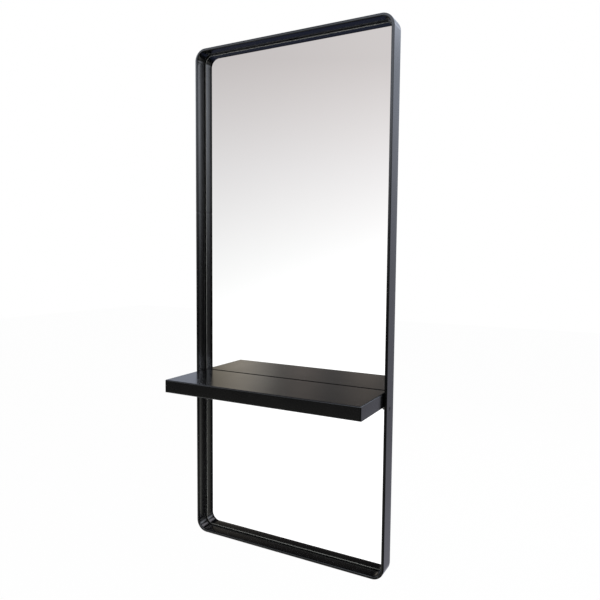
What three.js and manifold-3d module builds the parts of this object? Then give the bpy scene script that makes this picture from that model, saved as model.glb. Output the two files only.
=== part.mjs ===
// Wall mirror with a shelf: a deep bent steel hoop, a recessed mirror glass on a back panel,
// a folded steel shelf on two arms, and a hook rail on the wall.
// Millimetres. +X is to the right seen from the front, +Y into the wall, +Z up.
// The wall is the plane y = 0, and z = 0 is the middle of the rail's face on the wall.

import * as THREE from 'three';
import { mergeVertices } from 'three/addons/utils/BufferGeometryUtils.js';
import Module from 'manifold-3d';

const wasm = await Module();
wasm.setup();

// ---------- driving dimensions ----------

// steel hoop
const frameWidth = 505;
const frameHeight = 1200;
const frameDepth = 42.5;
const bandThickness = 7;
const bandArris = 1.8;          // rounding of the band's long edges
const cornerRadius = 28;        // outside bend radius

// mirror glass and back panel
const mirrorRecess = 30;        // hoop's front edge to the face of the glass
const glassThickness = 4;
const glassArris = 0.8;
const glassGap = 0.8;           // glass edge to hoop
const panelThickness = 1.5;
const panelGap = 1.2;           // panel edge to hoop
const tapeCount = 4;
const tapeWidth = 30;
const tapeEndMargin = 60;       // end of a tape to the panel's edge

// lugs and their screws
const lugWidth = 26;
const lugReach = 15;
const lugThickness = 2;
const lugSpacing = 400;         // along a post
const screwRadius = 2;
const screwHeadRadius = 3.8;
const screwHeadHeight = 1.8;
const screwCrownHeight = 0.7;   // rounded part of the head
const screwCrownRadius = 2.8;   // flat left on top of it
const screwSocketRadius = 1.4;
const screwSocketDepth = 1;

// shelf
const shelfTop = 415;           // above the hoop's lowest edge
const shelfHeight = 30;
const shelfOverhang = 126;      // in front of the hoop
const shelfSheet = 1.5;
const shelfBend = 2.4;          // outside bend radius
const shelfEndGap = 0.5;        // shelf end to post
const shelfRearGap = 2;         // shelf to glass
const shelfLip = 12;            // lip folded back under the front
const rearFold = 14;            // height of the fold along the glass

// arms that carry the shelf
const armPlate = 3;
const armHeight = 27;
const armLength = 112;          // in front of the hoop
const armFlange = 24;
const armFlangeGap = 6;         // flange's rear end to the hoop's front edge
const joggleGap = 0.5;          // shelf's end wall to the start of the arm's outward step
const joggleRun = 5.5;
const armBoltDrop = 5;          // bolt axis below the shelf's underside
const armBoltDepth = 18;        // bolt axis behind the hoop's front edge
const armTabHeight = 15;        // below the shelf's underside
const armTabDepth = 13;
const armBoltRadius = 2.5;
const armBoltHeadRadius = 4.6;
const armBoltCone = 2.3;
const armBoltTail = 1;          // thread left beyond the nut
const armSocketRadius = 1.75;
const armSocketDepth = 1.9;
const armNutHeight = 4;
const armNutRadius = 4.6;
const dowelRadius = 2.5;
const dowelBite = 4;            // depth of the dowel in the post
const dowelAhead = 6;           // in front of the bolt
const dowelRise = 15.4;         // above the shelf's underside
const studRadius = 2.4;
const studLength = 9;
const studInset = 20;           // from the arm's tip
const studSpacing = 60;
const studNutHeight = 3.8;
const studNutRadius = 4.4;
const stiffenerSide = 14;
const stiffenerSheet = 1.5;

// hook rail, cleat and pads
const railDrop = 170;           // from the hoop's top edge down to the middle of the rail's wall face
const railLength = 320;
const cleatLength = 290;
const railSheet = 1.2;
const railBase = 20;            // height of the flat that lies on the wall or on the panel
const railHook = 11;            // height of the hook
const railScrewRadius = 2.6;
const railScrewSpacing = 260;
const rivetRadius = 1.6;
const rivetHeadRadius = 3.2;
const rivetHeadHeight = 0.9;
const rivetCrownRadius = 2.2;   // flat left on top of the head
const rivetTailRadius = 2.6;
const rivetTapeGap = 6;         // rivet's axis to the edge of a foam tape
const padRadius = 8;
const padInset = 60;            // from the panel's edges

// clearances
const seat = 0.3;               // between pieces that bear on each other
const boreGap = 0.3;            // between a shank and its hole
const hookGap = 0.6;            // between the two hooks

// modelling values
const bite = 1;                 // how far a cutting or joined solid runs past a face
const cornerLeft = 0.05;        // radius left at the top of a folded corner
const bendSteps = 12;           // facets in a quarter of a large bend
const roundSides = 16;          // facets round a small round piece
const hexSides = 6;
const bevelSteps = 2;
const foldSteps = 3;

// ---------- places worked out from the dimensions ----------

const front = -frameDepth;
const glassFront = front + mirrorRecess;
const glassBack = glassFront + glassThickness;
const lugFront = glassBack + seat;
const lugBack = lugFront + lugThickness;
const panelFront = lugBack + seat;
const panelBack = panelFront + panelThickness;
const innerHalfWidth = frameWidth / 2 - bandThickness;
const innerHalfHeight = frameHeight / 2 - bandThickness;
const innerCorner = cornerRadius - bandThickness;
const middle = frameHeight / 2;
const railHeight = frameHeight - railDrop;
const shelfUnder = shelfTop - shelfHeight;
const shelfHalf = innerHalfWidth - shelfEndGap;
const shelfFront = front - shelfOverhang;
const shelfRear = glassFront - shelfRearGap;
const plateUnder = shelfTop - shelfSheet;

// ---------- materials ----------

const coat = new THREE.MeshStandardMaterial({ color: 0x17181b, roughness: 0.38, metalness: 0 });
const silver = new THREE.MeshStandardMaterial({ color: 0xf2f4f4, roughness: 0.02, metalness: 1 });
const zinc = new THREE.MeshStandardMaterial({ color: 0xb4b7ba, roughness: 0.35, metalness: 1 });
const darkZinc = new THREE.MeshStandardMaterial({ color: 0x2a2b2e, roughness: 0.45, metalness: 0.8 });
const foam = new THREE.MeshStandardMaterial({ color: 0xd9d7d0, roughness: 0.95, metalness: 0 });
const rubber = new THREE.MeshStandardMaterial({ color: 0x1c1c1c, roughness: 0.9, metalness: 0 });

// ---------- helpers ----------

const group = new THREE.Group();
const mirror = new THREE.Group();          // z = 0 is the hoop's lowest edge in here
mirror.position.z = -railHeight;
group.add(mirror);

function place(name, geometry, material) {
  const mesh = new THREE.Mesh(geometry, material);
  mesh.name = name;
  mirror.add(mesh);
  return mesh;
}

// Merge coincident corners, keeping positions only.
function welded(geometry) {
  const bare = geometry.clone();
  bare.deleteAttribute('normal');
  bare.deleteAttribute('uv');
  return mergeVertices(bare, 1e-4);
}

function toManifold(geometry) {
  const merged = welded(geometry);
  return new wasm.Manifold(new wasm.Mesh({
    numProp: 3,
    vertProperties: new Float32Array(merged.attributes.position.array),
    triVerts: new Uint32Array(merged.index.array),
  }));
}

function fromManifold(solid) {
  const mesh = solid.getMesh();
  const geometry = new THREE.BufferGeometry();
  geometry.setAttribute('position', new THREE.BufferAttribute(mesh.vertProperties, 3));
  geometry.setIndex(new THREE.BufferAttribute(mesh.triVerts, 1));
  geometry.computeVertexNormals();
  return geometry;
}

function cut(geometry, ...tools) {
  let solid = toManifold(geometry);
  for (const tool of tools) {
    solid = solid.subtract(toManifold(tool));
  }
  return fromManifold(solid);
}

function join(geometry, ...others) {
  let solid = toManifold(geometry);
  for (const other of others) {
    solid = solid.add(toManifold(other));
  }
  return fromManifold(solid);
}

// A box given by its two opposite corners, in any order.
function block([x0, y0, z0], [x1, y1, z1]) {
  const box = new THREE.BoxGeometry(Math.abs(x1 - x0), Math.abs(y1 - y0), Math.abs(z1 - z0));
  return box.translate((x0 + x1) / 2, (y0 + y1) / 2, (z0 + z1) / 2);
}

function roundedOutline(halfWidth, halfHeight, radius, Kind = THREE.Shape) {
  const outline = new Kind();
  const x = halfWidth - radius;
  const y = halfHeight - radius;
  outline.absarc(x, y, radius, 0, Math.PI / 2);
  outline.absarc(-x, y, radius, Math.PI / 2, Math.PI);
  outline.absarc(-x, -y, radius, Math.PI, 1.5 * Math.PI);
  outline.absarc(x, -y, radius, 1.5 * Math.PI, 2 * Math.PI);
  outline.closePath();
  return outline;
}

// A plate standing in the XZ plane, from y = yFront back to y = yRear, with rounded long edges.
function standingPlate(shape, yFront, yRear, arris) {
  const rounded = arris > 0;
  const plate = new THREE.ExtrudeGeometry(shape, {
    depth: yRear - yFront - 2 * arris,
    curveSegments: bendSteps,
    bevelEnabled: rounded,
    bevelThickness: arris,
    bevelSize: arris,
    bevelOffset: -arris,
    bevelSegments: bevelSteps,
  });
  plate.rotateX(Math.PI / 2);
  return plate.translate(0, yRear - arris, middle);
}

// A turned solid along Y: profile points are [radius, y], from either end of the axis to the other.
function turned(profile, sides = roundSides) {
  const upward = profile.at(-1)[1] > profile[0][1];
  const points = upward ? profile : [...profile].reverse();
  return new THREE.LatheGeometry(points.map(([r, y]) => new THREE.Vector2(r, y)), sides);
}

// The same, lying along X.
function turnedAlongX(profile, sides = roundSides) {
  return turned(profile, sides).rotateZ(-Math.PI / 2);
}

// The same, standing along Z.
function turnedAlongZ(profile, sides = roundSides) {
  return turned(profile, sides).rotateX(Math.PI / 2);
}

// The profile of a plain rod.
function rod(radius, from, to) {
  return [[0, from], [radius, from], [radius, to], [0, to]];
}

// A strip of constant section, given in the YZ plane and centred on x = 0.
function strip(points, length) {
  const shape = new THREE.Shape(points.map(([y, z]) => new THREE.Vector2(y, z)));
  const solid = new THREE.ExtrudeGeometry(shape, { depth: length, bevelEnabled: false });
  const turn = new THREE.Matrix4().makeBasis(
    new THREE.Vector3(0, 1, 0),
    new THREE.Vector3(0, 0, 1),
    new THREE.Vector3(1, 0, 0),
  );
  return solid.applyMatrix4(turn).translate(-length / 2, 0, 0);
}

// ---------- hoop ----------

const armBoltAt = { y: front + armBoltDepth, z: shelfUnder - armBoltDrop };
const dowelAt = { y: armBoltAt.y - dowelAhead, z: shelfUnder + dowelRise };

function hoop() {
  const outline = roundedOutline(frameWidth / 2, frameHeight / 2, cornerRadius);
  outline.holes.push(roundedOutline(innerHalfWidth, innerHalfHeight, innerCorner, THREE.Path));
  const band = standingPlate(outline, front, 0, bandArris);
  const outer = frameWidth / 2;
  const sinks = [];
  for (const side of [-1, 1]) {
    const sink = turnedAlongX([
      [0, outer + bite],
      [armBoltHeadRadius + boreGap, outer + bite],
      [armBoltHeadRadius + boreGap, outer],
      [armBoltRadius + boreGap, outer - armBoltCone - boreGap],
      [armBoltRadius + boreGap, innerHalfWidth - bite],
      [0, innerHalfWidth - bite],
    ]);
    const socket = turnedAlongX(
      rod(dowelRadius + boreGap, innerHalfWidth - bite, innerHalfWidth + dowelBite + seat));
    for (const [tool, at] of [[sink, armBoltAt], [socket, dowelAt]]) {
      tool.rotateZ(side < 0 ? Math.PI : 0);
      sinks.push(tool.translate(0, at.y, at.z));
    }
  }
  return cut(band, ...sinks);
}

place('frame_hoop', hoop(), coat);

// ---------- glass, tapes and panel ----------

const glassHalfWidth = innerHalfWidth - glassGap;
const glassHalfHeight = innerHalfHeight - glassGap;
const glassOutline = roundedOutline(glassHalfWidth, glassHalfHeight, innerCorner - glassGap);
place('mirror_glass', standingPlate(glassOutline, glassFront, glassBack, glassArris), silver);

const panelHalfWidth = innerHalfWidth - panelGap;
const panelHalfHeight = innerHalfHeight - panelGap;
const tapePitch = 2 * panelHalfWidth / tapeCount;

// Lug places: three along each post, one at the top and one at the foot.
// Each is the middle of the lug's root on the hoop's inner face, and the way it points.
const lugs = [];
for (const side of [-1, 1]) {
  for (const step of [-1, 0, 1]) {
    lugs.push({ x: side * innerHalfWidth, z: middle + step * lugSpacing, inX: -side, inZ: 0 });
  }
}
lugs.push({ x: 0, z: middle + innerHalfHeight, inX: 0, inZ: -1 });
lugs.push({ x: 0, z: middle - innerHalfHeight, inX: 0, inZ: 1 });

function along(lug, distance) {
  return { x: lug.x + lug.inX * distance, z: lug.z + lug.inZ * distance };
}

function shank(radius, yFrom, yTo, at) {
  return turned(rod(radius, yFrom, yTo)).translate(at.x, 0, at.z);
}

lugs.forEach((lug, i) => {
  const root = along(lug, seat);
  const tip = along(lug, seat + lugReach);
  const acrossX = Math.abs(lug.inZ) * lugWidth / 2;
  const acrossZ = Math.abs(lug.inX) * lugWidth / 2;
  const plate = block(
    [root.x - acrossX, lugFront, root.z - acrossZ],
    [tip.x + acrossX, lugBack, tip.z + acrossZ],
  );
  const hole = shank(screwRadius + boreGap, lugFront - bite, lugBack + bite, along(lug, lugReach / 2));
  place(`panel_lug_${i + 1}`, cut(plate, hole), coat);
});

// hanging cleat on the panel and hook rail on the wall, both strips along X
const cleatFront = panelBack + seat;
const wallHookFront = cleatFront + hookGap;
const wallHookBack = wallHookFront + railSheet;
const cleatHookFront = wallHookBack + hookGap;
const cleatHookBack = cleatHookFront + railSheet;
const hookFoot = railHeight + railBase / 2;
const hookTop = hookFoot + railHook;

const cleatBaseTop = hookTop + seat + railSheet + railBase;
const cleat = strip([
  [cleatFront, hookTop + seat],
  [cleatFront, cleatBaseTop],
  [cleatFront + railSheet, cleatBaseTop],
  [cleatFront + railSheet, hookTop + seat + railSheet],
  [cleatHookBack, hookTop + seat + railSheet],
  [cleatHookBack, hookFoot + railSheet + seat],
  [cleatHookFront, hookFoot + railSheet + seat],
  [cleatHookFront, hookTop + seat],
], cleatLength);
const railBaseFoot = railHeight - railBase / 2;
const rail = strip([
  [wallHookFront, hookTop],
  [wallHookBack, hookTop],
  [wallHookBack, hookFoot + railSheet],
  [0, hookFoot + railSheet],
  [0, railBaseFoot],
  [-railSheet, railBaseFoot],
  [-railSheet, hookFoot],
  [wallHookFront, hookFoot],
], railLength);

const rivetZ = hookTop + seat + railSheet + railBase / 2;
// the outer rivets lie midway between two tapes, the inner ones just inside the inner tapes
const innerRivetX = (tapePitch - tapeWidth) / 2 - rivetTapeGap;
const rivetXs = [-tapePitch, -innerRivetX, innerRivetX, tapePitch];
const rivetHoles = rivetXs.map((x) => shank(
  rivetRadius + boreGap, panelFront - bite, cleatHookBack, { x, z: rivetZ }));
place('hanging_cleat', cut(cleat, ...rivetHoles), zinc);
rivetXs.forEach((x, i) => {
  const headFoot = cleatFront + railSheet + seat;
  const tailTop = panelFront - seat;
  place(`cleat_rivet_${i + 1}`, turned([
    [0, tailTop - rivetHeadHeight],
    [rivetTailRadius, tailTop - rivetHeadHeight],
    [rivetTailRadius, tailTop],
    [rivetRadius, tailTop],
    [rivetRadius, headFoot],
    [rivetHeadRadius, headFoot],
    [rivetCrownRadius, headFoot + rivetHeadHeight],
    [0, headFoot + rivetHeadHeight],
  ]).translate(x, 0, rivetZ), zinc);
});

const railHoles = [-1, 1].map((side) => shank(
  railScrewRadius, -railSheet - bite, bite, { x: side * railScrewSpacing / 2, z: railHeight }));
place('wall_rail', cut(rail, ...railHoles), zinc);

// back panel with its screw and rivet holes
const panelOutline = roundedOutline(panelHalfWidth, panelHalfHeight, innerCorner - panelGap);
const panelHoles = lugs.map((lug) => shank(
  screwRadius + boreGap, panelFront - bite, panelBack + bite, along(lug, lugReach / 2)));
const panel = standingPlate(panelOutline, panelFront, panelBack, 0);
place('back_panel', cut(panel, ...panelHoles, ...rivetHoles), zinc);

lugs.forEach((lug, i) => {
  const headFoot = panelBack + seat;
  const headTop = headFoot + screwHeadHeight;
  const at = along(lug, lugReach / 2);
  const screw = turned([
    [0, lugFront + seat],
    [screwRadius, lugFront + seat],
    [screwRadius, headFoot],
    [screwHeadRadius, headFoot],
    [screwHeadRadius, headTop - screwCrownHeight],
    [screwCrownRadius, headTop],
    [0, headTop],
  ]);
  const recess = turned(rod(screwSocketRadius, headTop - screwSocketDepth, headTop + bite), hexSides);
  place(`lug_screw_${i + 1}`, cut(screw, recess).translate(at.x, 0, at.z), darkZinc);
});

// upright foam tapes share the panel's width evenly
const tapeHalf = panelHalfHeight - tapeEndMargin;
for (let i = 0; i < tapeCount; i += 1) {
  const x = (i + 0.5) * tapePitch - panelHalfWidth;
  place(`glass_tape_${i + 1}`, block(
    [x - tapeWidth / 2, glassBack + seat, middle - tapeHalf],
    [x + tapeWidth / 2, panelFront - seat, middle + tapeHalf],
  ), foam);
}

// rubber pads keep the foot of the mirror off the wall
for (const [name, side] of [['left', -1], ['right', 1]]) {
  const at = { x: side * (panelHalfWidth - padInset), z: middle - panelHalfHeight + padInset };
  place(`wall_pad_${name}`, shank(padRadius, panelBack + seat, 0, at), rubber);
}

// ---------- shelf ----------

// A block with all its upper edges and its upright corners rounded like a sheet bend.
function foldedBlock(halfWidth, yFront, yRear, zFoot, zTop, bend) {
  const halfDepth = (yRear - yFront) / 2;
  const body = new THREE.ExtrudeGeometry(roundedOutline(halfWidth, halfDepth, bend), {
    depth: zTop - zFoot - bend,
    curveSegments: foldSteps,
    bevelEnabled: true,
    bevelThickness: bend,
    bevelSize: bend - cornerLeft,
    bevelOffset: cornerLeft - bend,
    bevelSegments: foldSteps,
  });
  body.translate(0, (yFront + yRear) / 2, zFoot);
  const below = block(
    [-halfWidth - bite, yFront - bite, zFoot - bend - bite],
    [halfWidth + bite, yRear + bite, zFoot],
  );
  return cut(body, below);
}

function shelfTray() {
  const outside = foldedBlock(shelfHalf, shelfFront, shelfRear, shelfUnder, shelfTop, shelfBend);
  const inside = foldedBlock(
    shelfHalf - shelfSheet,
    shelfFront + shelfSheet,
    shelfRear - shelfSheet,
    shelfUnder - bite,
    plateUnder,
    shelfBend - shelfSheet,
  );
  const shell = cut(outside, inside);
  const lip = block(
    [-shelfHalf + shelfBend, shelfFront + shelfSheet / 2, shelfUnder],
    [shelfHalf - shelfBend, shelfFront + shelfLip, shelfUnder + shelfSheet],
  );
  // the ends stop at the hoop, where the arms pass, and the rear fold is low and short
  const notches = [-1, 1].map((side) => block(
    [side * (shelfHalf + bite), front, shelfUnder - bite],
    [side * (shelfHalf - armPlate - shelfBend), shelfRear + bite, plateUnder],
  ));
  const rearTrim = block(
    [-shelfHalf, shelfRear - shelfBend - bite, shelfUnder - bite],
    [shelfHalf, shelfRear + bite, shelfTop - rearFold],
  );
  return cut(join(shell, lip), ...notches, rearTrim);
}

place('shelf_tray', shelfTray(), coat);

// ---------- arms and their fasteners ----------

const footOuter = innerHalfWidth - seat;
const footInner = footOuter - armPlate;
const armOuter = shelfHalf - shelfSheet - seat;
const armInner = armOuter - armPlate;
const armTop = plateUnder - seat;
const armFoot = armTop - armHeight;
const armTip = front - armLength;
const joggleFront = front + joggleGap;
const footFront = joggleFront + joggleRun;
const footRear = shelfRear - shelfBend - seat;
const studX = armInner - armFlange / 2;
const studYs = [armTip + studInset, armTip + studInset + studSpacing];

function arm(side) {
  const plan = new THREE.Shape([
    [armOuter, armTip],
    [armOuter, joggleFront],
    [footOuter, footFront],
    [footOuter, footRear],
    [footInner, footRear],
    [footInner, footFront + joggleGap],
    [armInner, joggleFront + joggleGap],
    [armInner, armTip],
  ].map(([x, y]) => new THREE.Vector2(side * x, y)));
  const web = new THREE.ExtrudeGeometry(plan, { depth: armHeight, bevelEnabled: false });
  web.translate(0, 0, armFoot);
  const flange = block(
    [side * (armInner + bite), armTip, armTop - armPlate],
    [side * (armInner - armFlange), front - armFlangeGap, armTop],
  );
  const tab = block(
    [side * footInner, armBoltAt.y - armTabDepth / 2, shelfUnder - armTabHeight],
    [side * footOuter, footRear, armFoot + bite],
  );
  const boltHole = turnedAlongX(rod(armBoltRadius + boreGap, armInner - bite, footOuter + bite));
  const dowelHole = turnedAlongX(rod(dowelRadius + boreGap, armInner - bite, footOuter + bite));
  const holes = [[boltHole, armBoltAt], [dowelHole, dowelAt]].map(([hole, at]) => (
    hole.rotateZ(side < 0 ? Math.PI : 0).translate(0, at.y, at.z)
  ));
  for (const y of studYs) {
    const hole = turnedAlongZ(rod(studRadius + boreGap, armTop - armPlate - bite, armTop + bite));
    holes.push(hole.translate(side * studX, y, 0));
  }
  return cut(join(web, flange, tab), ...holes);
}

// A hexagon nut with its bore, from one face to the other along Y.
function nut(radius, boreRadius, from, to) {
  const body = turned(rod(radius, from, to), hexSides);
  return cut(body, turned(rod(boreRadius, from - bite, to + bite)));
}

for (const [name, side] of [['left', -1], ['right', 1]]) {
  const turn = side < 0 ? Math.PI : 0;
  place(`shelf_arm_${name}`, arm(side), coat);

  const outer = frameWidth / 2;
  const nutTop = footInner - seat;
  const nutFoot = nutTop - armNutHeight;
  const bolt = turnedAlongX([
    [0, nutFoot - armBoltTail],
    [armBoltRadius, nutFoot - armBoltTail],
    [armBoltRadius, outer - armBoltCone],
    [armBoltHeadRadius, outer - seat],
    [0, outer - seat],
  ]);
  const recess = turnedAlongX(rod(armSocketRadius, outer - seat - armSocketDepth, outer + bite), hexSides);
  const armBolt = cut(bolt, recess).rotateZ(turn);
  place(`arm_bolt_${name}`, armBolt.translate(0, armBoltAt.y, armBoltAt.z), darkZinc);

  const armNut = nut(armNutRadius, armBoltRadius + boreGap, nutFoot, nutTop).rotateZ(-Math.PI / 2);
  place(`arm_nut_${name}`, armNut.rotateZ(turn).translate(0, armBoltAt.y, armBoltAt.z), zinc);

  const dowel = turnedAlongX(rod(dowelRadius, footInner, innerHalfWidth + dowelBite));
  place(`arm_dowel_${name}`, dowel.rotateZ(turn).translate(0, dowelAt.y, dowelAt.z), zinc);
}

let studNumber = 0;
for (const side of [-1, 1]) {
  for (const y of studYs) {
    studNumber += 1;
    const top = plateUnder - seat;
    const nutTop = armTop - armPlate - seat;
    const stud = turnedAlongZ(rod(studRadius, top - studLength, top));
    place(`shelf_stud_${studNumber}`, stud.translate(side * studX, y, 0), zinc);
    const studNut = nut(studNutRadius, studRadius + boreGap, nutTop - studNutHeight, nutTop);
    place(`stud_nut_${studNumber}`, studNut.rotateX(Math.PI / 2).translate(side * studX, y, 0), zinc);
  }
}

// angle under the middle of the shelf, between the arms' flanges
const stiffenerLength = 2 * (armInner - armFlange - seat);
const stiffenerY = (shelfFront + front) / 2;
const stiffenerTop = plateUnder - seat;
place('shelf_stiffener', strip([
  [stiffenerY, stiffenerTop],
  [stiffenerY + stiffenerSide, stiffenerTop],
  [stiffenerY + stiffenerSide, stiffenerTop - stiffenerSheet],
  [stiffenerY + stiffenerSheet, stiffenerTop - stiffenerSheet],
  [stiffenerY + stiffenerSheet, stiffenerTop - stiffenerSide],
  [stiffenerY, stiffenerTop - stiffenerSide],
], stiffenerLength), coat);

export default group;
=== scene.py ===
"""Wall mirror with a shelf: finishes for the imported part, a pale studio and the photo's camera.

Metres. +X is to the right seen from the front, +Y into the wall, +Z up.
"""

import math

import bmesh
import bpy
from mathutils import Matrix, Vector


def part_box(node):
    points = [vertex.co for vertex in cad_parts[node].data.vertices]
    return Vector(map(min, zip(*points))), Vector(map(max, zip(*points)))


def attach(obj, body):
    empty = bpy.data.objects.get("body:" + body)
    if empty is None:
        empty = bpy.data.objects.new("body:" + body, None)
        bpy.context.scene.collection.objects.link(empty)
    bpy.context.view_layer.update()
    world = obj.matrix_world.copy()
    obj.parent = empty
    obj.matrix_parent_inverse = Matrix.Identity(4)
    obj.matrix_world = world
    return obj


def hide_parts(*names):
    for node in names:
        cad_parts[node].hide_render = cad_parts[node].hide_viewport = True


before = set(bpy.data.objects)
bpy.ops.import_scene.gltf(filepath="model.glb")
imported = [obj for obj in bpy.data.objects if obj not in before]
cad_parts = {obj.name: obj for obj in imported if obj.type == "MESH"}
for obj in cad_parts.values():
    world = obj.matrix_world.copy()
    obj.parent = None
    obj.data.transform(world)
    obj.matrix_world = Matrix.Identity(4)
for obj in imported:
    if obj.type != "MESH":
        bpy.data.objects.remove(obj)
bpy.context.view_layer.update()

MM = 0.001

# ---------- sizes that the frame's boxes don't give ----------

BAND = 7 * MM                   # thickness of the hoop's steel
BAND_ARRIS = 1.8 * MM           # rounding of its long edges
HOOP_CORNER = 28 * MM           # outside bend radius
CROWN = 0.7 * MM                # height of the crown on the bar's inner face
CROWN_SINK = 0.45 * MM          # how far the face's edges lie back
CROWN_AT = 0.37                 # where it is highest, from the front edge (0) to the glass (1)
CROWN_STEPS = 12
CROWN_SLACK = 0.0001            # slack at both ends of that way
WELD_UP = 810 * MM              # the bar's ends meet this far up the left post
WELD_HALF = 2.2 * MM            # half the width of the dressed weld
WELD_SINK = 0.3 * MM            # how low it lies
WELD_EDGE = 0.01                # nearer its edges than this share, nothing sinks
GLASS_GAP = 0.8 * MM            # glass edge to hoop
GLASS_ARRIS = 2.4 * MM          # width of the ground edge
GLASS_FALL = 0.6 * MM           # how far it falls back
SHEET = 1.5 * MM                # shelf steel
FOLD = 2.4 * MM                 # shelf's outside bend radius
SHELF_LIP = 12 * MM
REAR_FOLD = 14 * MM
POST_NOTCH = 5.4 * MM           # between the posts its folds stop this far in from its ends
SINK_RADIUS = 4.9 * MM          # countersinks for the arm bolts, in the posts
SINK_DEPTH = 2.6 * MM
BOLT_HOLE = 2.8 * MM
PIN_GAP = 0.3 * MM              # round the pins in their sockets

ARRIS_STEPS = 3
CORNER_STEPS = 24
FOLD_STEPS = 6
COPY_STEPS = 2
BOLT_HOLE_SIDES = 48
PIN_HOLE_SIDES = 32
SAME = 1e-6                     # points closer than this are one
NEAR = 1e-5                     # slack of a test for a place
FLAT_ANGLE = math.radians(1)    # faces that meet at less are one
HARD_ANGLE = math.radians(35)   # edges sharper than this are eased

hoop_low, hoop_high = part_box("frame_hoop")
glass_low, glass_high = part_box("mirror_glass")
tray_low, tray_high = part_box("shelf_tray")


# ---------- shader nodes ----------

class Wire:
    """A node's output that takes part in sums and products."""

    def __init__(self, finish, socket):
        self.finish = finish
        self.socket = socket

    def maths(self, operation, first, second):
        return self.finish.maths(operation, first, second)

    def __add__(self, other):
        return self.maths("ADD", self, other)

    __radd__ = __add__

    def __sub__(self, other):
        return self.maths("SUBTRACT", self, other)

    def __rsub__(self, other):
        return self.maths("SUBTRACT", other, self)

    def __mul__(self, other):
        return self.maths("MULTIPLY", self, other)

    __rmul__ = __mul__


class Finish:
    """The node tree of a material or of the world, while it is being made."""

    def __init__(self, owner):
        owner.use_nodes = True
        self.owner = owner
        self.tree = owner.node_tree
        self.tree.nodes.clear()

    def node(self, kind, settings=None, sockets=None, output=0):
        """Adds a node, with its settings first and then its sockets' values or links."""
        made = self.tree.nodes.new(kind)
        for name, value in (settings or {}).items():
            if name == "stops":
                set_stops(made.color_ramp, value)
            else:
                setattr(made, name, value)
        for name, value in (sockets or {}).items():
            if isinstance(value, Wire):
                self.tree.links.new(value.socket, made.inputs[name])
            else:
                made.inputs[name].default_value = value
        return Wire(self, made.outputs[output]) if len(made.outputs) else None

    def place(self):
        """The point on the piece, in metres."""
        return self.node("ShaderNodeTexCoord", output="Object")

    def stretched(self, scale):
        """The point with each axis scaled, for streaks."""
        return self.node("ShaderNodeMapping", {}, {"Vector": self.place(), "Scale": scale})

    def noise(self, scale, detail=2.0, vector=None):
        return self.node("ShaderNodeTexNoise", {}, {
            "Vector": vector or self.place(), "Scale": scale, "Detail": detail, "Roughness": 0.55})

    def between(self, factor, low, high):
        """A value that runs from low to high as factor runs over the middle of a noise."""
        return self.node("ShaderNodeMapRange", {}, {
            "Value": factor, "From Min": 0.3, "From Max": 0.7, "To Min": low, "To Max": high})

    def maths(self, operation, first, second):
        return self.node("ShaderNodeMath", {"operation": operation}, {0: first, 1: second})

    def ranged(self, value, low, high, first, last, run="SMOOTHSTEP"):
        """A value that runs from first to last as another runs from low to high."""
        return self.node("ShaderNodeMapRange", {"interpolation_type": run}, {
            "Value": value, "From Min": low, "From Max": high, "To Min": first, "To Max": last})

    def shades(self, value, stops):
        """A colour that follows stops, each a place and a colour."""
        return self.node("ShaderNodeValToRGB", {"stops": stops}, {"Fac": value})

    def ramp(self, value, stops):
        """A value that follows stops, each a place and a value."""
        tone = self.shades(value, [(place, grey(level)) for place, level in stops])
        return self.node("ShaderNodeSeparateColor", {}, {"Color": tone})

    def tinted(self, value, tint):
        """A colour times a value."""
        return self.node("ShaderNodeVectorMath", {"operation": "SCALE"}, {0: tint, "Scale": value})

    def added(self, first, second):
        """The sum of two colours."""
        return self.node("ShaderNodeVectorMath", {"operation": "ADD"}, {0: first, 1: second})

    def blend(self, factor, first, second):
        """A colour between two colours."""
        return self.node("ShaderNodeMix", {"data_type": "RGBA"}, {
            0: factor, 6: first, 7: second}, output=2)

    def bump(self, height, depth, strength=1.0, under=None):
        sockets = {"Height": height, "Distance": depth, "Strength": strength}
        if under:
            sockets["Normal"] = under
        return self.node("ShaderNodeBump", {}, sockets)

    def surface(self, **sockets):
        """The finished surface. Names have underscores for the spaces in the sockets' names."""
        named = {name.replace("_", " "): value for name, value in sockets.items()}
        shader = self.node("ShaderNodeBsdfPrincipled", {}, named)
        self.node("ShaderNodeOutputMaterial", {}, {"Surface": shader})
        return self.owner


def set_stops(ramp, stops):
    """Gives a colour ramp its stops, each a place and a colour."""
    while len(ramp.elements) < len(stops):
        ramp.elements.new(1.0)
    for element, (place, colour) in zip(ramp.elements, stops):
        element.position = place
        element.color = (*colour, 1.0)


def grey(value):
    return (value, value, value)


def opaque(red, green, blue):
    return (red, green, blue, 1.0)


# ---------- finishes ----------

def powder_coat():
    """Satin black powder coat: a fine orange peel, a finer grain and a slow change of sheen."""
    coat = Finish(bpy.data.materials.new("powder_coat"))
    sheen = coat.noise(9.0, 3.0)
    peel = coat.bump(coat.noise(620.0), 0.03 * MM, 0.09)
    return coat.surface(
        Base_Color=coat.blend(
            sheen, opaque(0.0014, 0.0014, 0.0017), opaque(0.0030, 0.0030, 0.0032)),
        Roughness=coat.between(sheen, 0.18, 0.23),
        Normal=coat.bump(coat.noise(3600.0), 0.012 * MM, 0.06, under=peel),
    )


def silvering():
    """Silvered glass, with the faintest cloudiness of a wiped mirror."""
    silver = Finish(bpy.data.materials.new("silvering"))
    wiped = silver.noise(14.0, 4.0, silver.stretched((1.0, 1.0, 0.35)))
    return silver.surface(
        Base_Color=silver.blend(wiped, opaque(0.985, 0.988, 0.986), opaque(0.994, 0.996, 0.995)),
        Metallic=1.0,
        Roughness=0.0,
    )


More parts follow.
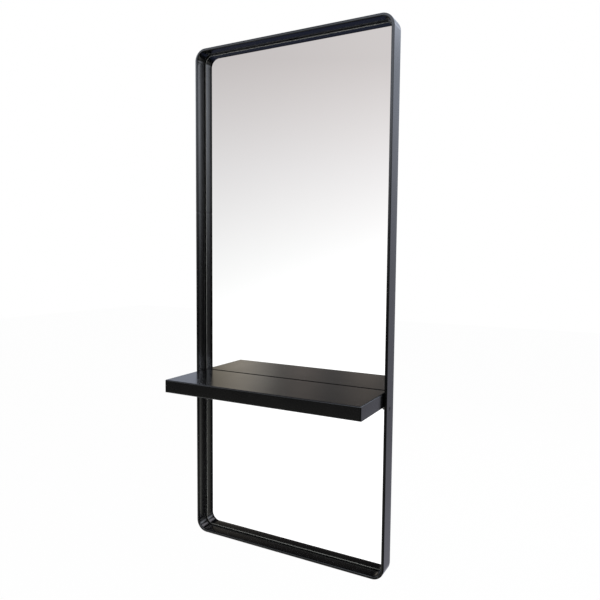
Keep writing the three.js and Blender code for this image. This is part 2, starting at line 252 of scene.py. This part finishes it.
def ground_glass():
    """The ground arris and edge of the glass, pale and matt with grinding marks along it."""
    ground = Finish(bpy.data.materials.new("ground_glass"))
    marks = ground.noise(2400.0, 3.0)
    return ground.surface(
        Base_Color=ground.blend(marks, opaque(0.34, 0.35, 0.33), opaque(0.40, 0.41, 0.38)),
        Roughness=ground.between(marks, 0.35, 0.6),
        Normal=ground.bump(marks, 0.02 * MM, 0.2),
    )


def backing_paint():
    """The grey lacquer that covers the silver on the back of the glass."""
    paint = Finish(bpy.data.materials.new("backing_paint"))
    flow = paint.noise(70.0, 3.0)
    return paint.surface(
        Base_Color=paint.blend(flow, opaque(0.20, 0.22, 0.23), opaque(0.27, 0.29, 0.30)),
        Roughness=paint.between(flow, 0.4, 0.55),
        Normal=paint.bump(flow, 0.05 * MM, 0.3),
    )


def galvanised_sheet():
    """Galvanised sheet steel: soft spangles, rolling streaks and small scuffs."""
    sheet = Finish(bpy.data.materials.new("galvanised_sheet"))
    spangle = sheet.node("ShaderNodeTexVoronoi", {}, {
        "Vector": sheet.place(), "Scale": 95.0, "Randomness": 1.0}, output="Color")
    tone = sheet.node("ShaderNodeSeparateColor", {}, {"Color": spangle})
    streaks = sheet.noise(30.0, 4.0, sheet.stretched((0.25, 1.0, 14.0)))
    cover = sheet.between(streaks, 0.0, 0.5) + tone * 0.5
    return sheet.surface(
        Base_Color=sheet.blend(cover, opaque(0.33, 0.34, 0.35), opaque(0.52, 0.53, 0.53)),
        Metallic=1.0,
        Roughness=sheet.between(cover, 0.34, 0.48),
        Normal=sheet.bump(streaks, 0.01 * MM, 0.3),
    )


def bright_zinc():
    """Bright zinc plate on strips and fasteners: drawing lines and a cloudy sheen."""
    zinc = Finish(bpy.data.materials.new("bright_zinc"))
    cloud = zinc.noise(55.0, 3.0)
    lines = zinc.noise(240.0, 3.0, zinc.stretched((0.06, 1.0, 1.0)))
    worn = cloud * 0.6 + lines * 0.4
    return zinc.surface(
        Base_Color=zinc.blend(worn, opaque(0.58, 0.58, 0.57), opaque(0.80, 0.80, 0.77)),
        Metallic=1.0,
        Roughness=zinc.between(worn, 0.20, 0.34),
        Normal=zinc.bump(lines, 0.008 * MM, 0.3),
    )


def black_zinc():
    """Black zinc plated fasteners."""
    plate = Finish(bpy.data.materials.new("black_zinc"))
    cloud = plate.noise(900.0, 3.0)
    return plate.surface(
        Base_Color=plate.blend(cloud, opaque(0.020, 0.021, 0.024), opaque(0.055, 0.055, 0.058)),
        Metallic=0.85,
        Roughness=plate.between(cloud, 0.30, 0.5),
        Normal=plate.bump(cloud, 0.01 * MM, 0.4),
    )


def foam_tape():
    """Closed-cell foam with fine pores."""
    foam = Finish(bpy.data.materials.new("foam_tape"))
    pores = foam.node("ShaderNodeTexVoronoi", {}, {"Vector": foam.place(), "Scale": 1500.0})
    return foam.surface(
        Base_Color=foam.blend(pores, opaque(0.50, 0.49, 0.46), opaque(0.76, 0.75, 0.71)),
        Roughness=0.95,
        Normal=foam.bump(pores, 0.1 * MM, 0.5),
    )


def moulded_rubber():
    """Black rubber with a fine moulded grain."""
    rubber = Finish(bpy.data.materials.new("moulded_rubber"))
    grain = rubber.noise(1500.0, 3.0)
    return rubber.surface(
        Base_Color=rubber.blend(grain, opaque(0.012, 0.012, 0.012), opaque(0.030, 0.030, 0.030)),
        Roughness=rubber.between(grain, 0.65, 0.85),
        Normal=rubber.bump(grain, 0.05 * MM, 0.4),
    )


black_coat = powder_coat()
mirror_silver = silvering()
ground_edge = ground_glass()
glass_backing = backing_paint()
panel_zinc = galvanised_sheet()
zinc_steel = bright_zinc()
dark_zinc = black_zinc()
foam = foam_tape()
rubber = moulded_rubber()


# ---------- making pieces ----------

def cube_between(bm, low, high):
    """A box from its lowest to its highest corner."""
    made = bmesh.ops.create_cube(bm, size=1.0)["verts"]
    bmesh.ops.scale(bm, vec=Vector(high) - Vector(low), verts=made)
    bmesh.ops.translate(bm, vec=(Vector(high) + Vector(low)) / 2, verts=made)
    return made


def soften(bm, edges, width, steps=ARRIS_STEPS):
    """Rounds edges."""
    return bmesh.ops.bevel(
        bm, geom=edges, offset=width, offset_type="OFFSET", segments=steps,
        profile=0.5, affect="EDGES", clamp_overlap=True, material=-1)


def runs_along(edge, axis):
    """Whether an edge lies along an axis, 0 to 2."""
    span = edge.verts[1].co - edge.verts[0].co
    return abs(span[axis]) > 0.999 * span.length


def rim_of(faces):
    """The edges between these faces and the others."""
    inside = set(faces)
    return [edge for edge in {e for f in faces for e in f.edges}
            if sum(f in inside for f in edge.link_faces) == 1]


def score(bm, place, normal, faces=None):
    """Cuts new edges where a plane crosses the mesh, or crosses some of its faces."""
    if faces is None:
        parts = bm.verts[:] + bm.edges[:] + bm.faces[:]
    else:
        edges = {edge for face in faces for edge in face.edges}
        parts = faces + list(edges) + list({vert for face in faces for vert in face.verts})
    bmesh.ops.bisect_plane(bm, geom=parts, dist=SAME, plane_co=place, plane_no=normal)


def front_and_rear(bm):
    """The faces that lie across the depth."""
    return [face for face in bm.faces if abs(face.normal.y) > 0.9]


def finished(bm, name, materials, slot, *nodes):
    """Turns a bmesh into a piece that stands for CAD nodes, with its flat faces shaded flat."""
    bmesh.ops.recalc_face_normals(bm, faces=bm.faces)
    for face in bm.faces:
        face.smooth = True
    mesh = bpy.data.meshes.new(name)
    bm.to_mesh(mesh)
    bm.free()
    piece = bpy.data.objects.new(name, mesh)
    bpy.context.scene.collection.objects.link(piece)
    for material in materials:
        mesh.materials.append(material)
    even = piece.modifiers.new("even_normals", "WEIGHTED_NORMAL")
    even.keep_sharp = True
    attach(piece, "root")
    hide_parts(*nodes)
    return piece


def cut_away(bm, cutters):
    """Takes the cutters out of a solid, and leaves one solid."""
    body = bpy.data.objects.new("body", bpy.data.meshes.new("body"))
    tool = bpy.data.objects.new("tool", bpy.data.meshes.new("tool"))
    bm.to_mesh(body.data)
    cutters.to_mesh(tool.data)
    cutters.free()
    for item in (body, tool):
        bpy.context.scene.collection.objects.link(item)
    cut = body.modifiers.new("cut", "BOOLEAN")
    cut.operation = "DIFFERENCE"
    cut.solver = "EXACT"
    cut.use_self = True             # the cutters cross each other
    cut.object = tool
    bpy.context.view_layer.update()
    seen = body.evaluated_get(bpy.context.evaluated_depsgraph_get())
    result = bpy.data.meshes.new_from_object(seen)
    bm.clear()
    bm.from_mesh(result)
    bmesh.ops.dissolve_degenerate(bm, dist=2 * SAME, edges=bm.edges)
    for item in (body, tool):
        mesh = item.data
        bpy.data.objects.remove(item)
        bpy.data.meshes.remove(mesh)
    bpy.data.meshes.remove(result)


# ---------- the pieces that the photograph shows ----------

def steel_hoop():
    """Flat bar bent to a hoop: a slab with round corners, hollowed out, with its edges eased."""
    bm = bmesh.new()
    cube_between(bm, hoop_low, hoop_high)
    soften(bm, [e for e in bm.edges if runs_along(e, 1)], HOOP_CORNER, CORNER_STEPS)
    ends = front_and_rear(bm)
    bmesh.ops.inset_individual(bm, faces=ends, thickness=BAND, use_even_offset=True)
    bmesh.ops.delete(bm, geom=ends, context="FACES_ONLY")
    bmesh.ops.bridge_loops(bm, edges=[e for e in bm.edges if e.is_boundary])
    crown_inside(bm)
    soften(bm, rim_of(front_and_rear(bm)), BAND_ARRIS)
    dress_weld(bm)
    holes = bmesh.new()
    for side in ("left", "right"):
        add_arm_holes(holes, side)
    cut_away(bm, holes)
    return finished(bm, "hoop_of_bent_bar", [black_coat], "black_coat", "frame_hoop")


def crown_inside(bm):
    """Gives the bar's inner face, in front of the glass, a slight crown with its edges sunk."""
    front, rear = hoop_low.y, glass_low.y
    for step in range(1, CROWN_STEPS + 1):
        score(bm, (0, front + (rear - front) * step / CROWN_STEPS, 0), (0, 1, 0))
    for vert in bm.verts:
        depth = (vert.co.y - front) / (rear - front)
        outward, inside = way_out_of_hoop(vert.co)
        if inside and -CROWN_SLACK < depth < 1 + CROWN_SLACK:
            slack = (depth - CROWN_AT) / (1 - CROWN_AT if depth > CROWN_AT else CROWN_AT)
            vert.co -= outward * (CROWN * (1 - slack * slack) - CROWN_SINK)


def way_out_of_hoop(place):
    """The way across the bar and out of the hoop, and whether a place is on the inner side."""
    offset = place - (hoop_low + hoop_high) / 2
    bend = HOOP_CORNER - BAND / 2
    straight = (hoop_high - hoop_low) / 2 - Vector((BAND / 2 + bend, 0, BAND / 2 + bend))
    across = Vector((abs(offset.x) - straight.x, 0, abs(offset.z) - straight.z))
    if across.x > 0 and across.z > 0:
        way, reach = across.normalized(), across.length
    else:
        way = Vector((1, 0, 0)) if across.x > across.z else Vector((0, 0, 1))
        reach = max(across.x, across.z)
    outward = Vector((math.copysign(way.x, offset.x), 0, math.copysign(way.z, offset.z)))
    return outward, reach < bend


def dress_weld(bm):
    """Sinks a shallow line round the left post, where the bar's ends are welded and ground."""
    weld = hoop_low.z + WELD_UP
    for step in (-2, -1, 0, 1, 2):
        left = [f for f in bm.faces if f.calc_center_median().x < hoop_low.x / 2]
        score(bm, (0, 0, weld + WELD_HALF * step / 2), (0, 0, 1), left)
    middle = Vector((hoop_low.x + BAND / 2, (hoop_low.y + hoop_high.y) / 2, 0))
    half = Vector((BAND / 2, (hoop_high.y - hoop_low.y) / 2, 0))
    for vert in bm.verts:
        near = 1 - abs(vert.co.z - weld) / WELD_HALF
        if vert.co.x < 0 and near > WELD_EDGE:
            sink = WELD_SINK * math.sin(near * math.pi / 2) ** 2
            for axis in (0, 1):
                off = vert.co[axis] - middle[axis]
                vert.co[axis] = middle[axis] + off * (1 - sink / half[axis])


def add_arm_holes(bm, side):
    """One arm bolt's countersink and hole and the socket of the pin above it, as cutting solids."""
    bolt_low, bolt_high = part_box("arm_bolt_" + side)
    pin_low, pin_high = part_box("arm_dowel_" + side)
    bolt_axis = (bolt_low + bolt_high) / 2
    outward = 1 if bolt_axis.x > 0 else -1
    over = 1 * MM                   # the cone runs on past the face, and past its foot
    flare = over * (SINK_RADIUS - BOLT_HOLE) / SINK_DEPTH
    pin_hole = (pin_high.y - pin_low.y) / 2 + PIN_GAP
    sink = bmesh.ops.create_cone(
        bm, cap_ends=True, segments=BOLT_HOLE_SIDES, radius1=BOLT_HOLE - flare,
        radius2=SINK_RADIUS + flare, depth=SINK_DEPTH + 2 * over)["verts"]
    hole = bmesh.ops.create_cone(
        bm, cap_ends=True, segments=BOLT_HOLE_SIDES, radius1=BOLT_HOLE,
        radius2=BOLT_HOLE, depth=4 * BAND)["verts"]
    socket = bmesh.ops.create_cone(
        bm, cap_ends=True, segments=PIN_HOLE_SIDES, radius1=pin_hole,
        radius2=pin_hole, depth=pin_high.x - pin_low.x + 2 * PIN_GAP)["verts"]
    turn = Matrix.Rotation(math.pi / 2 * outward, 3, "Y")
    bmesh.ops.rotate(bm, cent=(0, 0, 0), matrix=turn, verts=sink + hole + socket)
    middle = Vector((outward * (hoop_high.x - SINK_DEPTH / 2), bolt_axis.y, bolt_axis.z))
    bmesh.ops.translate(bm, vec=middle, verts=sink + hole)
    bmesh.ops.translate(bm, vec=(pin_low + pin_high) / 2, verts=socket)


def mirror_plate():
    """The silvered glass, with a flat ground arris round its face."""
    bm = bmesh.new()
    cube_between(bm, glass_low, glass_high)
    corner = HOOP_CORNER - BAND - GLASS_GAP
    soften(bm, [e for e in bm.edges if runs_along(e, 1)], corner, CORNER_STEPS)
    face = [f for f in bm.faces if f.normal.y < -0.9]
    rim = {vert for f in face for vert in f.verts}
    bmesh.ops.inset_individual(bm, faces=face, thickness=GLASS_ARRIS, use_even_offset=True)
    bmesh.ops.translate(bm, vec=(0, GLASS_FALL, 0), verts=list(rim))
    for face in bm.faces:
        face.normal_update()
        if face.normal.y < -0.999:
            face.material_index = 0
        elif face.normal.y > 0.99:
            face.material_index = 2
        else:
            face.material_index = 1
    materials = [mirror_silver, ground_edge, glass_backing]
    return finished(bm, "silvered_glass", materials, "mirror_silver", "mirror_glass")


def folded_shelf():
    """The shelf: one sheet folded down in front, at the ends and at the glass, with a front lip."""
    front, rear = tray_low.y, tray_high.y
    left, right = tray_low.x, tray_high.x
    bm = bmesh.new()
    cube_between(bm, tray_low, tray_high)
    bmesh.ops.delete(bm, geom=[f for f in bm.faces if f.normal.z < 0.9], context="FACES")
    score(bm, (0, hoop_low.y, 0), (0, 1, 0))
    for end in (left + POST_NOTCH, right - POST_NOTCH):
        score(bm, (end, 0, 0), (1, 0, 0))

    def at_front(place):
        return place.y < front + NEAR

    def at_ends(place):
        return place.y < hoop_low.y and not left + NEAR <= place.x <= right - NEAR

    def at_glass(place):
        return place.y > rear - NEAR and left + POST_NOTCH < place.x < right - POST_NOTCH

    def at_foot(place):
        low = at_front(place) and place.z < tray_low.z + NEAR
        return low and left + FOLD < place.x < right - FOLD

    drop = Vector((0, 0, tray_low.z - tray_high.z))
    fold_down(bm, lambda place: at_front(place) or at_ends(place), drop)
    fold_down(bm, at_glass, Vector((0, 0, -REAR_FOLD)))
    fold_down(bm, at_foot, Vector((0, SHELF_LIP, 0)))
    bmesh.ops.remove_doubles(bm, verts=bm.verts, dist=SAME)
    folds = [e for e in bm.edges if len(e.link_faces) == 2 and e.calc_face_angle(0) > 1]
    soften(bm, folds, FOLD, FOLD_STEPS)
    bmesh.ops.recalc_face_normals(bm, faces=bm.faces)
    upper = max(bm.faces, key=lambda f: f.calc_center_median().z + f.calc_area())
    if upper.normal.z < 0:
        bmesh.ops.reverse_faces(bm, faces=bm.faces)
    bmesh.ops.solidify(bm, geom=bm.faces[:], thickness=SHEET)
    return finished(bm, "folded_shelf", [black_coat], "black_coat", "shelf_tray")


def fold_down(bm, where, way):
    """Extends the sheet from those of its free edges whose middle is where the test says."""
    free = [e for e in bm.edges
            if e.is_boundary and where((e.verts[0].co + e.verts[1].co) / 2)]
    made = bmesh.ops.extrude_edge_only(bm, edges=free)["geom"]
    moved = [g for g in made if isinstance(g, bmesh.types.BMVert)]
    bmesh.ops.translate(bm, vec=way, verts=moved)


steel_hoop()
mirror_plate()
folded_shelf()


# ---------- the carried-over nodes ----------

def eased_copy(node, material, slot, width):
    """A copy of a CAD node with its triangles merged into faces and its edges eased."""
    bm = bmesh.new()
    bm.from_mesh(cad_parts[node].data)
    bmesh.ops.remove_doubles(bm, verts=bm.verts, dist=SAME)
    bmesh.ops.dissolve_limit(
        bm, angle_limit=FLAT_ANGLE, use_dissolve_boundaries=False,
        verts=bm.verts, edges=bm.edges)
    hard = [e for e in bm.edges
            if len(e.link_faces) == 2 and e.calc_face_angle(0) > HARD_ANGLE]
    soften(bm, hard, width, COPY_STEPS)
    return finished(bm, node + "_eased", [material], slot, node)


def numbered(name, count):
    return [f"{name}_{i + 1}" for i in range(count)]


def sided(name):
    return [f"{name}_left", f"{name}_right"]


eased = [
    (["back_panel"], panel_zinc, "zinc_steel", 0.2 * MM),
    (["hanging_cleat", "wall_rail"], zinc_steel, "zinc_steel", 0.2 * MM),
    (sided("shelf_arm") + ["shelf_stiffener"], black_coat, "black_coat", 0.3 * MM),
    (numbered("panel_lug", 8), black_coat, "black_coat", 0.25 * MM),
    (numbered("lug_screw", 8) + sided("arm_bolt"), dark_zinc, "dark_zinc", 0.12 * MM),
    (numbered("cleat_rivet", 4) + numbered("stud_nut", 4), zinc_steel, "zinc_steel", 0.15 * MM),
    (sided("arm_nut") + numbered("shelf_stud", 4), zinc_steel, "zinc_steel", 0.15 * MM),
    (sided("wall_pad"), rubber, "rubber", 0.5 * MM),
]
for nodes, material, slot, width in eased:
    for node in nodes:
        eased_copy(node, material, slot, width)

plain = [
    (numbered("glass_tape", 4), foam),
    (sided("arm_dowel"), zinc_steel),
]
for nodes, material in plain:
    for node in nodes:
        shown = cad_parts[node]
        shown.data.materials.clear()
        shown.data.materials.append(material)


# ---------- floor, light and camera ----------

FLOOR_DROP = 0.45               # floor below the hoop's foot
FLOOR_HALF = 9.0
FLOOR_WHITE = 0.97              # share of plain white where the floor is seen
WHITE = (1.0, 1.0, 1.0, 1.0)
EVEN_LIGHT = (0.62, 0.62, 0.63, 1.0)
CAMERA_PLACE = Vector((0.6559, hoop_low.y - 1.1482, hoop_low.z + 0.7017))
CAMERA_TURN = (28.1325, -4.2333, 0.5004)        # yaw, pitch and roll, in degrees
CAMERA_LENS = 34.668
CAMERA_SENSOR = 36.0


def pale_floor():
    """A white floor that keeps a faint shadow. Reflections see the world's rooms in its place."""
    bm = bmesh.new()
    bmesh.ops.create_grid(bm, x_segments=1, y_segments=1, size=FLOOR_HALF)
    bmesh.ops.translate(bm, vec=(0, 0, hoop_low.z - FLOOR_DROP), verts=bm.verts)
    mesh = bpy.data.meshes.new("floor")
    bm.to_mesh(mesh)
    bm.free()
    floor = bpy.data.objects.new("floor", mesh)
    bpy.context.scene.collection.objects.link(floor)
    paint = Finish(bpy.data.materials.new("floor_paint"))
    camera, glossy, through = (paint.node("ShaderNodeLightPath", output=name) for name in (
        "Is Camera Ray", "Is Glossy Ray", "Is Transmission Ray"))
    matt = paint.node("ShaderNodeBsdfDiffuse", {}, {"Color": opaque(0.90, 0.90, 0.90)})
    white = paint.node("ShaderNodeEmission", {}, {"Color": WHITE, "Strength": 1.0})
    seen = (camera + glossy + through) * FLOOR_WHITE
    shader = paint.node("ShaderNodeMixShader", {}, {0: seen, 1: matt, 2: white})
    paint.node("ShaderNodeOutputMaterial", {}, {"Surface": shader})
    mesh.materials.append(paint.owner)
    floor.visible_glossy = False


class Sky(Finish):
    """The world's node tree, with the direction of the ray that looks at it."""

    def __init__(self, world):
        super().__init__(world)
        way = self.node("ShaderNodeTexCoord", output="Generated")
        self.x, self.y, self.z = (
            self.node("ShaderNodeSeparateXYZ", {}, {"Vector": way}, output=axis) for axis in "XYZ")
        self.height = self.ranged(self.z, -0.5, 0.5, 0.0, 1.0, "LINEAR")

    def ray(self, output):
        return self.node("ShaderNodeLightPath", output=output)

    def over_x(self, low, high, first, last, run="SMOOTHSTEP"):
        """A value that changes from left to right."""
        return self.ranged(self.x, low, high, first, last, run)

    def over_z(self, low, high, first, last, run="SMOOTHSTEP"):
        """A value that changes with height."""
        return self.ranged(self.z, low, high, first, last, run)

    def pale_room(self):
        """The plain room that the mirror shows, less bright towards its top."""
        light = self.over_z(-0.15, 0.315, 1.217, 0.594, "LINEAR")
        light = light * self.over_x(-0.60, -0.34, 0.90, 1.045, "LINEAR")
        return self.tinted(light, self.shades(self.height, [
            (0.50, (1.0, 1.0, 1.0)), (0.65, (1.01, 0.988, 0.993)), (0.80, (1.02, 0.965, 0.96))]))

    def room_ahead(self):
        """What the coat's faces see in front of the part."""
        light = self.ramp(self.height, [
            (0.0, 0.6), (0.15, 0.5), (0.25, 0.06), (0.36, 0.02), (0.44, 0.05),
            (0.58, 0.9), (0.70, 1.9), (0.85, 2.2), (0.92, 0.4), (1.0, 0.15)])
        card = self.over_x(-0.40, -0.33, 0.0, 1.0) * self.over_z(0.05, 0.30, 0.0, 2.0)
        light = light * self.over_x(-0.70, 0.0, 1.3, 0.06) + card + 0.01
        return self.tinted(light, self.shades(self.height, [
            (0.20, (1.0, 1.0, 0.93)), (0.55, (1.0, 1.0, 1.0)), (0.75, (0.92, 0.99, 1.12))]))

    def room_behind(self):
        """What they see behind the part, with a bright crest high up on the right."""
        light = self.ramp(self.height, [
            (0.0, 0.60), (0.13, 0.52), (0.22, 0.40), (0.36, 0.47),
            (0.50, 0.55), (0.74, 0.95), (0.85, 1.0), (1.0, 1.05)])
        crest = self.over_z(0.30, 0.43, 0.0, 1.75) * self.over_x(0.14, 0.26, 0.0, 1.0)
        crest = crest * self.over_x(0.50, 0.66, 1.0, 0.0)
        light = light * self.over_x(-0.60, 0.0, 0.75, 1.0) + crest
        return self.tinted(light, self.shades(self.height, [
            (0.20, (0.97, 0.97, 1.13)), (0.45, (0.96, 0.98, 1.13)), (0.75, (0.92, 1.0, 1.18))]))

    def windows(self):
        """Soft upright windows on the left, with a dim floor below and a light overhead."""
        panes = self.shades(self.over_x(-0.70, -0.20, 0.0, 1.0, "LINEAR"), [
            (0.0, grey(0.06)), (0.08, (0.10, 0.10, 0.11)), (0.16, (0.06, 0.06, 0.065)),
            (0.22, (0.38, 0.34, 0.26)), (0.30, (0.70, 0.63, 0.53)), (0.36, (0.50, 0.47, 0.42)),
            (0.42, (0.17, 0.16, 0.15)), (0.48, (0.28, 0.245, 0.22)), (0.58, (0.13, 0.125, 0.12)),
            (0.69, (0.28, 0.245, 0.215)), (0.80, grey(0.10)), (1.0, grey(0.015))])
        level = self.over_z(-0.05, 0.08, 0.05, 1.0) * self.over_z(0.25, 0.42, 1.0, 0.30)
        panes = self.tinted(level * self.over_z(0.17, 0.24, 1.3, 0.92), panes)
        floor = self.over_z(-0.45, -0.12, 0.20, 0.01) * self.over_x(0.0, 0.3, 1.0, 0.05)
        overhead = self.over_z(0.47, 0.57, 0.0, 2.4) * self.over_x(0.1, 0.25, 0.0, 1.0)
        lower = self.added(panes, self.tinted(floor, (0.45, 0.55, 1.0)))
        return self.added(lower, self.tinted(overhead, (1.03, 1.0, 1.1)))

    def bright_side(self):
        """The bright wall on the right."""
        light = self.ramp(self.height, [
            (0.0, 1.2), (0.2, 1.0), (0.35, 0.25), (0.48, 0.30), (0.60, 1.7),
            (0.75, 3.9), (0.84, 3.2), (0.92, 0.8), (1.0, 0.3)])
        wall = self.tinted(light, self.shades(self.height, [
            (0.2, (1.0, 1.0, 0.93)), (0.6, (0.95, 1.0, 1.10))]))
        return self.tinted(self.over_x(0.70, 0.85, 1.0, 0.4), wall)


def studio_air():
    """White behind the part, even light on it, and rooms for the mirror and the coat to show."""
    world = bpy.data.worlds.new("studio")
    bpy.context.scene.world = world
    air = Sky(world)
    once = air.maths("LESS_THAN", air.ray("Ray Depth"), 2.5)    # the world counts as a bounce
    rear = air.ranged(air.y, -0.3, 0.3, 0.0, 1.0)
    direct = air.blend(rear, air.room_ahead(), air.room_behind())
    by_mirror = air.blend(air.over_x(0.57, 0.66, 0.0, 1.0), air.windows(), air.bright_side())
    coat = air.blend(once, air.blend(rear, by_mirror, direct), direct)
    reflected = air.blend(air.ray("Is Singular Ray") * once, coat, air.pale_room())
    colour = air.blend(air.ray("Is Glossy Ray"), EVEN_LIGHT, reflected)
    seen = air.ray("Is Camera Ray") + air.ray("Is Transmission Ray")
    colour = air.blend(seen, colour, WHITE)
    background = air.node("ShaderNodeBackground", {}, {"Color": colour, "Strength": 1.0})
    air.node("ShaderNodeOutputWorld", {}, {"Surface": background})


def softbox(name, place, target, size, power):
    """A large even lamp that faces a point. Reflections don't see it."""
    lamp = bpy.data.lights.new(name, "AREA")
    lamp.shape = "RECTANGLE"
    lamp.size, lamp.size_y = size
    lamp.energy = power
    box = bpy.data.objects.new(name, lamp)
    box.visible_glossy = False
    bpy.context.scene.collection.objects.link(box)
    place = Vector(place)
    turn = (place - target).to_track_quat("Z", "Y").to_matrix().to_4x4()
    box.matrix_world = Matrix.Translation(place) @ turn


def photo_camera():
    """The photograph's view: from the right, a little above the middle."""
    camera = bpy.data.cameras.new("camera")
    camera.sensor_width = CAMERA_SENSOR
    camera.lens = CAMERA_LENS
    yaw, pitch, roll = (math.radians(angle) for angle in CAMERA_TURN)
    ahead = Vector((
        -math.sin(yaw) * math.cos(pitch), math.cos(yaw) * math.cos(pitch), math.sin(pitch)))
    level = Vector((math.cos(yaw), math.sin(yaw), 0.0))
    upright = level.cross(ahead)
    right = math.cos(roll) * level + math.sin(roll) * upright
    up = math.cos(roll) * upright - math.sin(roll) * level
    turn = Matrix((right, up, -ahead)).transposed().to_4x4()
    stand = bpy.data.objects.new("camera", camera)
    bpy.context.scene.collection.objects.link(stand)
    stand.matrix_world = Matrix.Translation(CAMERA_PLACE) @ turn
    bpy.context.scene.camera = stand


pale_floor()
studio_air()
centre = (hoop_low + hoop_high) / 2
softbox("right_softbox", (1.9, -1.7, 0.5), centre, (1.2, 1.8), 32)
softbox("left_softbox", (-2.2, -1.2, 1.4), centre, (1.4, 1.4), 5)
softbox("rear_softbox", (0.4, 2.4, 0.9), centre, (1.8, 1.8), 28)
photo_camera()

bpy.context.scene.view_settings.view_transform = "Standard"
